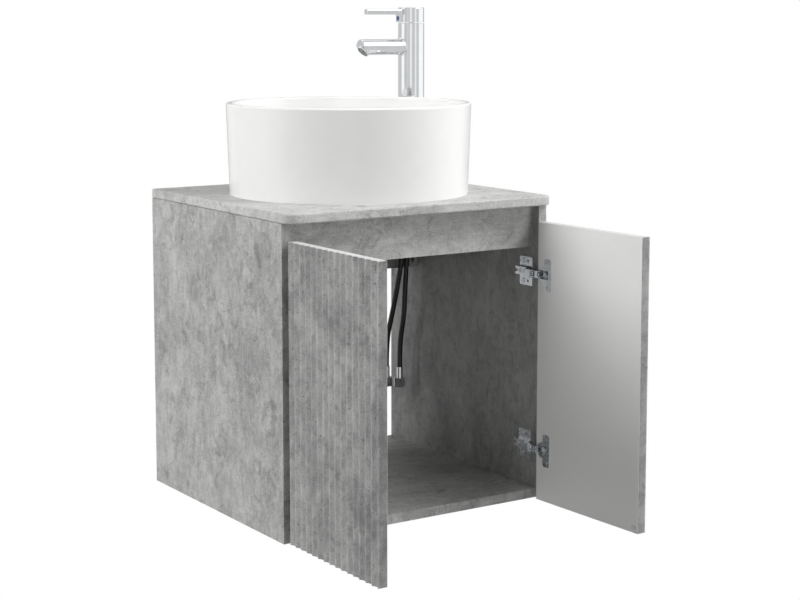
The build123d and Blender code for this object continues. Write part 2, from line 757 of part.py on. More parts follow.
arm_side_outline = [
    (arm_foot_u, -arm_back),
    (arm_low_u, -arm_back),
    (arm_low_u, -arm_ramp_back),
    (arm_high_u, -arm_ramp_front),
    (arm_high_u, -arm_front),
    (inner_bends[0][0] - eye_radius, -arm_front),
    (inner_bends[0][0] - 2 * eye_radius, inner_bends[0][1]),
    (arm_low_u, -arm_ramp_front),
    (arm_foot_u, -arm_ramp_front - 2 * arm_wall),
]
arm_top_outline = [
    (arm_low_u - arm_wall, -arm_back),
    (arm_low_u, -arm_back),
    (arm_low_u, -arm_ramp_back),
    (arm_high_u, -arm_ramp_front),
    (arm_high_u, -arm_front),
    (arm_high_u - arm_wall, -arm_front),
    (arm_high_u - arm_wall, -arm_ramp_front + arm_wall / 2),
    (arm_low_u - arm_wall, -arm_ramp_back + arm_wall / 2),
]
for height_name, hinge_z in hinge_zs.items():
    with BuildPart() as hinge_plate:
        with BuildSketch(on_panel(0, plate_mid, hinge_z)):
            RectangleRounded(plate_length, plate_height, plate_corner_radius)
        extrude(amount=plate_thickness)
        with BuildSketch(on_panel(plate_thickness, plate_mid, hinge_z)):
            RectangleRounded(plate_length, rib_width, rib_width / 8)
        extrude(amount=rib_height)
        for back in (plate_hole_first, plate_screw_back):
            for rise in (-plate_hole_spacing / 2, plate_hole_spacing / 2):
                drill(on_panel(0, back, hinge_z + rise), plate_screw_radius + screw_clearance,
                      plate_thickness)
        for back in arm_screw_from_front:
            drill(on_panel(plate_thickness + rib_height, back, hinge_z), arm_screw_radius, -arm_screw_length)

    with BuildPart() as hinge_arm:
        slab(arm_top_outline, hinge_z, -arm_half_height, arm_half_height)
        for side in (-1, 1):
            low, high = sorted((side * arm_half_height, side * (arm_half_height - arm_side)))
            slab(arm_side_outline, hinge_z, low, high)
            for bends in (outer_bends, inner_bends):
                drill(upwards(*left(bends[0]), hinge_z + low), pin_radius, arm_side)
        for back in arm_screw_from_front:
            drill(on_panel(arm_top, back, hinge_z), arm_screw_radius + screw_clearance, -arm_wall)
        with BuildSketch(on_panel(arm_top, arm_back, hinge_z)):
            SlotCenterToCenter(2 * arm_slot_length - arm_slot_width, arm_slot_width)
        extrude(amount=-arm_wall, mode=Mode.SUBTRACT)

    cup_plane = Plane(origin=(*left((cup_u, flange_w)), hinge_z), x_dir=(1, 0, 0), z_dir=(0, -1, 0))
    with BuildPart() as hinge_cup:
        peg(cup_plane, cup_radius, flange_thickness + cup_depth)
        with BuildSketch(Plane(origin=(*left((flange_u, flange_w)), hinge_z),
                               x_dir=(1, 0, 0), z_dir=(0, -1, 0))):
            RectangleRounded(flange_width, flange_height, flange_corner_radius)
        extrude(amount=flange_thickness)
        drill(cup_plane.offset(cup_wall), cup_radius - cup_wall,
              flange_thickness + cup_depth - cup_wall - cup_floor)
        window_start = cup_wall - cup_radius
        window_middle = (window_start + cup_window_end) / 2
        with BuildSketch(cup_plane):
            with Locations((window_middle, 0)):
                Rectangle(cup_window_end - window_start, cup_window_height)
        extrude(amount=cup_wall, mode=Mode.SUBTRACT)
        for rise in (-cup_screw_spacing / 2, cup_screw_spacing / 2):
            drill(Plane(origin=(*left((flange_u, flange_w)), hinge_z + rise),
                        x_dir=(1, 0, 0), z_dir=(0, -1, 0)),
                  cup_screw_radius + screw_clearance, flange_thickness)

    for hand, open_deg in open_degs.items():
        prefix = f"{height_name}_{hand}_hinge"
        finish(for_hand(hinge_plate.part, hand), f"{prefix}_plate")
        finish(for_hand(hinge_arm.part, hand), f"{prefix}_arm")
        finish(for_hand(turned(hinge_cup.part, pivot, -open_deg), hand), f"{prefix}_cup")


def bar(points, half_width):
    """Sketch a bent bar with round ends through the points of a left hinge's link."""
    for start, end in zip(points[:-1], points[1:]):
        (x0, y0), (x1, y1) = left(start), left(end)
        with Locations(((x0 + x1) / 2, (y0 + y1) / 2)):
            SlotCenterToCenter(hypot(x1 - x0, y1 - y0), 2 * half_width,
                               rotation=degrees(atan2(y1 - y0, x1 - x0)))


# The links of the hinges, each pair on one upright line, set for how far the door stands open
outer_side = outer_half_height - outer_plate
knee_in, knee_out = outer_bends[1], outer_bends[2]
knee_run = hypot(knee_out[0] - knee_in[0], knee_out[1] - knee_in[1])
aside = ((knee_out[1] - knee_in[1]) / knee_run * neck_offset,
         (knee_in[0] - knee_out[0]) / knee_run * neck_offset)
neck_line = [
    (knee_in[0] + aside[0], knee_in[1] + aside[1]),
    (knee_in[0] + neck_share * (knee_out[0] - knee_in[0]) + aside[0],
     knee_in[1] + neck_share * (knee_out[1] - knee_in[1]) + aside[1]),
]
for hand, open_deg in open_degs.items():
    with BuildPart() as outer_links:
        for hinge_z in hinge_zs.values():
            for side in (-1, 1):
                low = min(side * outer_half_height, side * outer_side)
                with BuildSketch(upwards(0, 0, hinge_z + low)) as cheek:
                    bar(outer_bends, outer_half_width)
                    with Locations(left(outer_bends[0])):
                        Circle(eye_radius)
                        Circle(pin_radius + pin_clearance, mode=Mode.SUBTRACT)
                extrude(cheek.sketch, amount=outer_plate)
            with BuildSketch(upwards(0, 0, hinge_z - outer_half_height)) as neck:
                bar(neck_line, neck_half_thickness)
            extrude(neck.sketch, amount=2 * outer_half_height)
    swing = outer_turn * (1 - open_deg / 90)
    finish(for_hand(turned(outer_links.part, outer_bends[0], -swing), hand), f"{hand}_outer_links")

    with BuildPart() as inner_links:
        for hinge_z in hinge_zs.values():
            with BuildSketch(upwards(0, 0, hinge_z - inner_half_height)) as web:
                bar(inner_bends, inner_half_width)
                with Locations(left(inner_bends[0])):
                    Circle(eye_radius)
                    Circle(pin_radius + pin_clearance, mode=Mode.SUBTRACT)
            extrude(web.sketch, amount=2 * inner_half_height)
    swing = inner_turn * (1 - open_deg / 90)
    finish(for_hand(turned(inner_links.part, inner_bends[0], -swing), hand), f"{hand}_inner_links")

print("outer links turn", round(outer_turn / 90, 4), "of the door's turn, the other way")
print("inner links turn", round(inner_turn / 90, 4), "of the door's turn, the other way")

# Hinge pins and screws
with BuildPart() as hinge_pins:
    for hinge_z in hinge_zs.values():
        for bends in (outer_bends, inner_bends):
            x, y = left(bends[0])
            for sign in (1, -1):
                peg(upwards(sign * x, y, hinge_z - arm_half_height), pin_radius, 2 * arm_half_height)
finish(hinge_pins.part, "hinge_pins")

with BuildPart() as hinge_screws:
    for sign in (-1, 1):
        for hinge_z in hinge_zs.values():
            for rise in (-plate_hole_spacing / 2, plate_hole_spacing / 2):
                seat = across(-sign, -inner_x + plate_thickness, front_y + plate_screw_back, hinge_z + rise)
                screw(seat, plate_screw_head_radius, plate_screw_head,
                      plate_screw_radius - screw_clearance, plate_screw_length)
            for back in arm_screw_from_front:
                seat = across(-sign, -inner_x + arm_top, front_y + back, hinge_z)
                screw(seat, arm_screw_head_radius, arm_screw_head,
                      arm_screw_radius - screw_clearance, arm_screw_length)
finish(hinge_screws.part, "hinge_screws")

for hand, open_deg in open_degs.items():
    with BuildPart() as cup_screws:
        for hinge_z in hinge_zs.values():
            for rise in (-cup_screw_spacing / 2, cup_screw_spacing / 2):
                seat = Plane(origin=(*left((flange_u, flange_w)), hinge_z + rise),
                             x_dir=(1, 0, 0), z_dir=(0, 1, 0))
                screw(seat, cup_screw_head_radius, cup_screw_head,
                      cup_screw_radius - screw_clearance, cup_screw_length)
    finish(for_hand(turned(cup_screws.part, pivot, -open_deg), hand), f"{hand}_cup_screws")

# Basin
basin_plane = Plane(origin=(basin_x, basin_y, worktop_top), x_dir=(1, 0, 0), z_dir=(0, -1, 0))
flange_pocket_radius = waste_flange_radius + waste_flange_room
flange_seat = basin_floor - waste_flange_thickness
with BuildPart() as basin:
    with BuildSketch(basin_plane) as basin_section:
        Polygon(
            (waste_hole_radius, basin_foot_recess),
            (basin_foot_radius - basin_foot_ring, basin_foot_recess),
            (basin_foot_radius - basin_foot_ring, 0),
            (basin_foot_radius, 0),
            (basin_radius, basin_height),
            (basin_radius - basin_rim, basin_height),
            (basin_inner_foot_radius, basin_floor + basin_fall),
            (flange_pocket_radius, basin_floor),
            (flange_pocket_radius, flange_seat),
            (waste_hole_radius, flange_seat),
            align=None,
        )
        corners = basin_section.vertices()
        rim_corners = corners.group_by(Axis.Y)[-1]
        foot_corner = corners.group_by(Axis.Y)[0].sort_by(Axis.X)[-1]
        bowl_corner = corners.filter_by(lambda corner: abs(corner.X - basin_inner_foot_radius) < 1e-3)
        fillet(rim_corners, basin_rim_round)
        fillet(foot_corner, basin_outer_round)
        fillet(bowl_corner, basin_inner_round)
    revolve(axis=Axis((basin_x, basin_y, 0), (0, 0, 1)))
finish(basin.part, "basin")

# Waste: body with its flange and the plug's guide, seal, nut and plug
waste_top = worktop_top + basin_floor
waste_low = top_z - waste_below_worktop
guide_top = waste_top - guide_below_flange
with BuildPart() as waste_body:
    peg(downwards(basin_x, basin_y, waste_top), waste_flange_radius, waste_flange_thickness)
    peg(downwards(basin_x, basin_y, waste_top), waste_tube_radius, waste_top - waste_low)
    drill(downwards(basin_x, basin_y, waste_top), waste_bore_radius, waste_top - waste_low)
    peg(downwards(basin_x, basin_y, guide_top), guide_radius, guide_height)
    with BuildSketch(downwards(basin_x, basin_y, guide_top)) as arms:
        with PolarLocations(0, 3):
            with Locations((waste_bore_radius / 2 + waste_bore_radius / 20, 0)):
                Rectangle(waste_bore_radius * 1.1, guide_arm_width)
    extrude(arms.sketch, amount=guide_height)
    drill(downwards(basin_x, basin_y, guide_top), plug_stem_radius + plug_guide_fit, guide_height)
finish(waste_body.part, "waste_body")

with BuildPart() as waste_seal:
    peg(downwards(basin_x, basin_y, top_z), waste_seal_radius, waste_seal_thickness)
    drill(downwards(basin_x, basin_y, top_z), waste_tube_radius + waste_nut_fit, waste_seal_thickness)
finish(waste_seal.part, "waste_seal")

with BuildPart() as waste_nut:
    hexagon(downwards(basin_x, basin_y, top_z - waste_seal_thickness), waste_nut_across_flats,
            waste_nut_height)
    drill(downwards(basin_x, basin_y, top_z - waste_seal_thickness), waste_tube_radius + waste_nut_fit,
          waste_nut_height)
finish(waste_nut.part, "waste_nut")

plug_low = waste_top + plug_lift + plug_seat_gap
with BuildPart() as waste_plug:
    peg(upwards(basin_x, basin_y, plug_low), plug_radius, plug_thickness)
    fillet(waste_plug.faces().sort_by(Axis.Z)[-1].edges(), plug_edge_round)
    peg(downwards(basin_x, basin_y, plug_low), plug_stem_radius, plug_stem_length)
finish(waste_plug.part, "waste_plug")

# Tap body: column, spout cut off at a slant, collar for the aerator, and its waterways
spout_z = worktop_top + spout_rise
rim_z = worktop_top + tap_rim_height
chamber_depth = cartridge_height + cartridge_nut_height
chamber_floor = rim_z - chamber_depth
bore_ceiling = tap_base_z + base_bore_height
slant = Vector(-sin(radians(45)), 0, -cos(radians(45)))
slant_middle_x = -(spout_reach + (spout_cut_reach - spout_radius)) / 2
slant_spot = (tap_x + slant_middle_x, tap_y, spout_z - spout_cut_reach - slant_middle_x)
slant_plane = Plane(origin=slant_spot, x_dir=(0, 1, 0), z_dir=slant)
along_spout = Plane(origin=(tap_x, tap_y, spout_z), x_dir=(0, 1, 0), z_dir=(-1, 0, 0))
hose_y = tap_y + hose_back
hose_xs = {"hot": tap_x - hose_spacing / 2, "cold": tap_x + hose_spacing / 2}
with BuildPart() as tap_body:
    peg(upwards(tap_x, tap_y, tap_base_z), tap_radius, rim_z - tap_base_z)
    chamfer(tap_body.edges().filter_by(GeomType.CIRCLE), tap_edge_round)
    peg(along_spout, spout_radius, spout_reach)
    seam = tap_body.edges().filter_by(GeomType.BSPLINE)
    fillet(seam, spout_fillet)
    fillet(tap_body.faces().sort_by(Axis.X)[0].edges(), spout_end_round)
    with BuildSketch(slant_plane) as beyond:
        Rectangle(4 * spout_radius, 4 * spout_radius)
    extrude(beyond.sketch, amount=2 * spout_radius, mode=Mode.SUBTRACT)
    peg(slant_plane, collar_radius, collar_length)
    drill(slant_plane.offset(collar_length), aerator_radius + aerator_fit, -aerator_depth)
    drill(along_spout.offset(spout_bore_start), spout_bore_radius, spout_bore_end - spout_bore_start)
    drill(upwards(tap_x, tap_y, tap_base_z), base_bore_radius, base_bore_height)
    peg(upwards(tap_x, tap_y - stud_forward, tap_base_z), stud_boss_radius, base_bore_height)
    drill(upwards(tap_x, tap_y - stud_forward, tap_base_z), stud_radius + thread_fit, stud_in_body)
    for hose_x in hose_xs.values():
        drill(upwards(hose_x, hose_y, bore_ceiling), riser_radius, chamber_floor - bore_ceiling)
    drill(upwards(tap_x - port_back, tap_y, spout_z), port_radius, chamber_floor - spout_z)
    drill(downwards(tap_x, tap_y, rim_z), cartridge_radius + cartridge_fit, chamber_depth)
finish(tap_body.part, "tap_body")

with BuildPart() as tap_aerator:
    peg(slant_plane.offset(collar_length - aerator_recess), aerator_radius, -(aerator_depth - aerator_recess))
    with BuildSketch(slant_plane.offset(collar_length - aerator_recess)) as jets:
        Circle(aerator_hole_radius)
        for ring, count in ((0.38, 6), (0.74, 12)):
            with PolarLocations(ring * aerator_radius, count):
                Circle(aerator_hole_radius)
    extrude(jets.sketch, amount=-aerator_depth, mode=Mode.SUBTRACT)
finish(tap_aerator.part, "tap_aerator")

# Cartridge, its nut, and the spindle that swivels in both
spindle_top = rim_z
cartridge_top = rim_z - cartridge_nut_height
with BuildPart() as tap_cartridge:
    peg(upwards(tap_x, tap_y, chamber_floor), cartridge_radius, cartridge_height)
    drill(downwards(tap_x, tap_y, cartridge_top), spindle_radius + spindle_fit,
          spindle_height - cartridge_nut_height + spindle_floor_gap)
    for hose_x in hose_xs.values():
        drill(upwards(hose_x, hose_y, chamber_floor), port_radius, cartridge_height / 4)
    drill(upwards(tap_x - port_back, tap_y, chamber_floor), port_radius, cartridge_height / 4)
finish(tap_cartridge.part, "tap_cartridge")

with BuildPart() as tap_cartridge_nut:
    peg(upwards(tap_x, tap_y, cartridge_top), cartridge_radius, cartridge_nut_height - cartridge_nut_room)
    drill(upwards(tap_x, tap_y, cartridge_top), spindle_radius + cartridge_nut_room, cartridge_nut_height)
finish(tap_cartridge_nut.part, "tap_cartridge_nut")

with BuildPart() as tap_spindle:
    peg(downwards(tap_x, tap_y, spindle_top), spindle_radius, spindle_height)
    with BuildSketch(downwards(tap_x, tap_y, spindle_top)):
        Rectangle(spindle_slot_length, spindle_slot_width)
    extrude(amount=spindle_height, mode=Mode.SUBTRACT)
finish(tap_spindle.part, "tap_spindle")

# Handle: hollow cap with its lever, the block under the lever, and the stem inside
cap_low = rim_z + cap_gap
cap_top = cap_low + cap_height
lever_top = cap_top - lever_below_top
lever_low = lever_top - lever_thickness
dot_z = cap_low + dot_rise
with BuildPart() as tap_handle:
    with BuildSketch(Plane(origin=(tap_x, tap_y, lever_low), x_dir=(-1, 0, 0), z_dir=(0, 0, 1))):
        with Locations((lever_reach / 2, 0)):
            Rectangle(lever_reach, lever_width)
    extrude(amount=lever_thickness)
    fillet(tap_handle.edges().filter_by(Axis.X).group_by(Axis.Z)[-1], lever_top_round)
    fillet(tap_handle.faces().sort_by(Axis.X)[0].edges(), lever_edge_round)
    with BuildSketch(Plane(origin=(tap_x, tap_y, cap_low), x_dir=(-1, 0, 0), z_dir=(0, 0, 1))):
        with Locations((boss_reach / 2, 0)):
            Rectangle(boss_reach, lever_width)
    extrude(amount=lever_low - cap_low)
    under_lever = [edge for edge in tap_handle.edges().filter_by(Axis.Y)
                   if abs(edge.center().X - tap_x + boss_reach) < 1e-3
                   and abs(edge.center().Z - lever_low) < 1e-3]
    fillet(under_lever, boss_fillet)
    peg(upwards(tap_x, tap_y, cap_low), cap_radius, cap_height)
    fillet(tap_handle.faces().sort_by(Axis.Z)[-1].edges(), cap_top_round)
    drill(upwards(tap_x, tap_y, cap_low), cap_radius - cap_wall, cap_height - cap_wall)
    boss_low = rim_z + stem_boss_gap
    peg(upwards(tap_x, tap_y, boss_low), stem_boss_radius, cap_top - cap_wall - boss_low)
    with BuildSketch(downwards(tap_x, tap_y, boss_low)) as stem:
        Rectangle(stem_size, stem_size)
    extrude(stem.sketch, amount=stem_boss_gap + stem_length - cap_gap)
    drill(Plane(origin=(tap_x - boss_reach - boss_fillet, tap_y, dot_z), x_dir=(0, 1, 0), z_dir=(1, 0, 0)),
          dot_radius + dot_fit, boss_fillet + dot_thickness - dot_proud)
finish(tap_handle.part, "tap_handle")

with BuildPart() as tap_index_dot:
    peg(Plane(origin=(tap_x - boss_reach - dot_proud, tap_y, dot_z), x_dir=(0, 1, 0), z_dir=(1, 0, 0)),
        dot_radius, dot_thickness)
finish(tap_index_dot.part, "tap_index_dot")

# What holds the tap down: seal, stud, horseshoe washer and nut
with BuildPart() as tap_base_seal:
    peg(upwards(tap_x, tap_y, worktop_top), tap_radius - tap_edge_round, base_seal_thickness)
    drill(upwards(tap_x, tap_y, worktop_top), tap_radius - tap_edge_round - base_seal_width,
          base_seal_thickness)
finish(tap_base_seal.part, "tap_base_seal")

stud_y = tap_y - stud_forward
with BuildPart() as tap_stud:
    peg(downwards(tap_x, stud_y, tap_base_z + stud_in_body), stud_radius, stud_length)
finish(tap_stud.part, "tap_stud")

with BuildPart() as tap_fixing_washer:
    with BuildSketch(downwards(tap_x, 0, top_z)) as horseshoe:
        with Locations((0, -tap_y + (washer_front - washer_back) / 2)):
            RectangleRounded(washer_width, washer_front + washer_back, washer_corner_radius)
        slot_length = 4 * washer_slot_width
        with Locations((0, -tap_y + washer_slot_front - slot_length / 2)):
            Rectangle(washer_slot_width, slot_length, mode=Mode.SUBTRACT)
    extrude(amount=washer_thickness)
    drill(downwards(tap_x, stud_y, top_z), stud_radius + screw_clearance, washer_thickness)
finish(tap_fixing_washer.part, "tap_fixing_washer")

with BuildPart() as tap_fixing_nut:
    hexagon(downwards(tap_x, stud_y, top_z - washer_thickness), fixing_nut_across_flats, fixing_nut_height)
    drill(downwards(tap_x, stud_y, top_z - washer_thickness), stud_radius + thread_fit, fixing_nut_height)
finish(tap_fixing_nut.part, "tap_fixing_nut")

# Hoses: straight runs joined by arcs as large as the runs allow
for name, route in hose_routes.items():
    points = [Vector(*point) for point in route]
    radii = []
    for before, here, after in zip(points[:-2], points[1:-1], points[2:]):
        run_in = here - before
        run_out = after - here
        half_turn = radians(run_in.get_angle(run_out)) / 2
        radii.append(hose_bend * min(run_in.length, run_out.length) / tan(half_turn))
    with BuildPart() as hose:
        with BuildLine() as path:
            FilletPolyline(*points, radius=radii)
        with BuildSketch(Plane(origin=points[0], z_dir=points[1] - points[0])):
            Circle(hose_radius)
        sweep(path=path.wires()[0])
    length = path.wires()[0].length
    print("hose", name, "length", round(length, 1), "radii", [round(radius) for radius in radii],
          "volume over section times length", round(hose.part.volume / (pi * hose_radius ** 2 * length), 4))
    finish(hose.part, f"hose_{name}")

with BuildPart() as hose_fittings:
    for name, route in hose_routes.items():
        top_x, top_y, start_z = route[0]
        peg(upwards(top_x, top_y, start_z), ferrule_radius, ferrule_length)
        hex_low = upwards(top_x, top_y, start_z + ferrule_length)
        hexagon(hex_low, tail_hex_across_flats, tail_hex_height)
        peg(hex_low.offset(tail_hex_height), tail_radius, tail_length)
        low_x, low_y, end_z = route[-1]
        peg(downwards(low_x, low_y, end_z), ferrule_radius, ferrule_length)
        peg(downwards(low_x, low_y, end_z - ferrule_length), end_collar_radius, end_collar_height)
finish(hose_fittings.part, "hose_fittings")

with BuildPart() as hose_union_nuts:
    for name, route in hose_routes.items():
        low_x, low_y, end_z = route[-1]
        collar_z = end_z - ferrule_length
        nut_plane = downwards(low_x, low_y, collar_z + union_room + union_ceiling)
        hexagon(nut_plane, union_across_flats, union_height)
        drill(nut_plane, ferrule_radius + union_room, union_height)
        drill(nut_plane.offset(union_ceiling), end_collar_radius + union_room, union_pocket)
        thread_start = union_ceiling + union_pocket
        drill(nut_plane.offset(thread_start), union_bore_radius, union_height - thread_start)
finish(hose_union_nuts.part, "hose_union_nuts")
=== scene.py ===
import bpy
from math import cos, pi, radians, sin
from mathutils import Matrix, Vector


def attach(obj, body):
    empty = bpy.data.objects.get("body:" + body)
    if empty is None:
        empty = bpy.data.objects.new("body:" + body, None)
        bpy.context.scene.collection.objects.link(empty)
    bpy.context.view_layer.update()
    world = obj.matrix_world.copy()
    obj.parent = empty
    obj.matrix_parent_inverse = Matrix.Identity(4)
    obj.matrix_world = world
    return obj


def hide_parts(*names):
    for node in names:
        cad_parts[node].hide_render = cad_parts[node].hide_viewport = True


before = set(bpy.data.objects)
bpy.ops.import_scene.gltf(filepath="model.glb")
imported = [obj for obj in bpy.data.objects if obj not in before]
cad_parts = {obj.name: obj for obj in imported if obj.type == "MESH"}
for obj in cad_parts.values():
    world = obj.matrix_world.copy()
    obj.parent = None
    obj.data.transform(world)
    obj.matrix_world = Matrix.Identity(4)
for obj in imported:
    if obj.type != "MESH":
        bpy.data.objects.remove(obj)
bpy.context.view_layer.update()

# Camera, where the photograph was taken from: about 3 m away, to the left of the cabinet
# and a little above its worktop, with a long lens. It is found from the straight edges.
FOCAL_PIXELS = 1761.5
PICTURE_WIDTH = 800.0
CAMERA_PLACE = (-1.4722, -2.6106, 0.4152)
CAMERA_TURN = 0.5815
CAMERA_DIP = 0.1172
camera_data = bpy.data.cameras.new("camera")
camera_data.sensor_width = 36.0
camera_data.lens = FOCAL_PIXELS / PICTURE_WIDTH * camera_data.sensor_width
camera_data.shift_y = -0.1
camera = bpy.data.objects.new("camera", camera_data)
bpy.context.collection.objects.link(camera)
camera.location = CAMERA_PLACE
aim = Vector((sin(CAMERA_TURN) * cos(CAMERA_DIP), cos(CAMERA_TURN) * cos(CAMERA_DIP),
              -sin(CAMERA_DIP)))
camera.rotation_euler = aim.to_track_quat("-Z", "Y").to_euler()
bpy.context.scene.camera = camera
bpy.context.scene.view_settings.view_transform = "Standard"

# Hoses: two flexible tap hoses, EPDM tube in a tight black nylon braid, 9 mm across. They
# drop from the tap's body, pass in front of the rear rail and hang to their union nuts.
HOSE_DIAMETER = 0.009
BRAID_PITCHES = 78.0
BRAID_STRANDS = 7.0
HOSE_ROUTES = {
    "hose_hot": (0.390, [
        (190.0, -101.0, 187.5), (190.0, -101.0, 140.0), (189.5, -101.5, 90.0),
        (186.0, -103.0, 40.0), (181.0, -101.0, -8.0), (178.5, -90.0, -58.0),
        (177.5, -76.0, -106.0), (176.0, -60.0, -153.0), (176.0, -60.0, -200.0)]),
    "hose_cold": (0.388, [
        (202.0, -101.0, 187.5), (202.0, -101.0, 139.0), (201.5, -101.5, 88.0),
        (197.5, -101.0, 38.0), (193.0, -97.5, -12.0), (191.5, -95.0, -62.0),
        (192.0, -91.0, -110.0), (192.5, -77.0, -156.0), (192.5, -77.0, -200.0)]),
}


def linear(hex_colour):
    """Linear RGBA of an sRGB colour written as rrggbb."""
    parts = [int(hex_colour[i:i + 2], 16) / 255 for i in (0, 2, 4)]
    return (*[c / 12.92 if c <= 0.04045 else ((c + 0.055) / 1.055) ** 2.4 for c in parts], 1.0)


def add(tree, kind, inputs=None, **settings):
    """Add a node. Settings are its properties; an input takes a value or another node's output."""
    node = tree.nodes.new(kind)
    for name, value in settings.items():
        setattr(node, name, value)
    for name, value in (inputs or {}).items():
        if isinstance(value, bpy.types.NodeSocket):
            tree.links.new(value, node.inputs[name])
        else:
            node.inputs[name].default_value = value
    return node


def new_material(name):
    """A new material, its node tree and its shader."""
    material = bpy.data.materials.new(name)
    material.use_nodes = True
    tree = material.node_tree
    return material, tree, tree.nodes["Principled BSDF"]


def dress(material, *names):
    """Give CAD nodes a material."""
    for name in names:
        for material_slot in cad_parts[name].material_slots:
            material_slot.material = material


# Braided nylon: two sets of strands cross at a slant; each crossing stands a little proud, with a
# painted highlight in its colour, and the gaps between are painted nearly black as painted shade.
braid, tree, shader = new_material("braided_nylon")
along_and_round = add(tree, "ShaderNodeSeparateXYZ",
                      {0: add(tree, "ShaderNodeTexCoord").outputs["UV"]})
along = add(tree, "ShaderNodeMath", {0: along_and_round.outputs["X"], 1: BRAID_PITCHES},
            operation="MULTIPLY")
around = add(tree, "ShaderNodeMath", {0: along_and_round.outputs["Y"], 1: BRAID_STRANDS},
             operation="MULTIPLY")
strands = []
for lean in ("ADD", "SUBTRACT"):
    phase = add(tree, "ShaderNodeMath", {0: along.outputs[0], 1: around.outputs[0]}, operation=lean)
    turns = add(tree, "ShaderNodeMath", {0: phase.outputs[0], 1: 2 * pi}, operation="MULTIPLY")
    strands.append(add(tree, "ShaderNodeMath", {0: turns.outputs[0]}, operation="SINE"))
crossing = add(tree, "ShaderNodeMath", {0: strands[0].outputs[0], 1: strands[1].outputs[0]},
               operation="MULTIPLY")
height = add(tree, "ShaderNodeMapRange", {"Value": crossing.outputs[0], "From Min": -1.0})
# Painted highlight on the crossings and painted shade in the gaps: the same black nylon is coloured
# lighter where the strands stand proud.
tint = add(tree, "ShaderNodeMix", {0: height.outputs[0], 6: linear("0e0e0f"), 7: linear("2c2c2e")},
           data_type="RGBA")
relief = add(tree, "ShaderNodeBump",
             {"Height": height.outputs[0], "Strength": 0.35, "Distance": 0.0004})
tree.links.new(tint.outputs[2], shader.inputs["Base Color"])
tree.links.new(relief.outputs[0], shader.inputs["Normal"])
shader.inputs["Roughness"].default_value = 0.42

for hose_name, (hose_length, route) in HOSE_ROUTES.items():
    line = bpy.data.curves.new(hose_name + "_sleeve", "CURVE")
    line.dimensions = "3D"
    spline = line.splines.new("NURBS")
    spline.points.add(len(route) - 1)
    for point, place in zip(spline.points, route):
        point.co = (*[c / 1000 for c in place], 1.0)
    spline.order_u = 3
    spline.use_endpoint_u = True
    spline.resolution_u = 16
    line.bevel_depth = HOSE_DIAMETER / 2
    line.bevel_resolution = 6
    line.use_fill_caps = True
    line.materials.append(braid)
    sleeve = bpy.data.objects.new(hose_name + "_sleeve", line)
    bpy.context.collection.objects.link(sleeve)
    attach(sleeve, "cabinet")
    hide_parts(hose_name)


# Carcass boards: particle board faced with a concrete-look melamine paper, pressed with a fine
# matt texture, and edged with the same decor. The print shows clouds, trowel streaks and pores.
CLOUDS_TO_A_METRE = 9.0
MOTTLES_TO_A_METRE = 60.0
STREAKS_TO_A_METRE = 210.0
CROSS_STREAKS_TO_A_METRE = 260.0
GRITS_TO_A_METRE = 560.0
SMUDGES_TO_A_METRE = 28.0
PORE_CELLS_TO_A_METRE = 230.0
PORES_ELSEWHERE = 0.1
PORES_AT_PATCH = 0.75
TONE_SPREAD = 0.22
FAR_AWAY = (9.0, 9.0, 9.0)


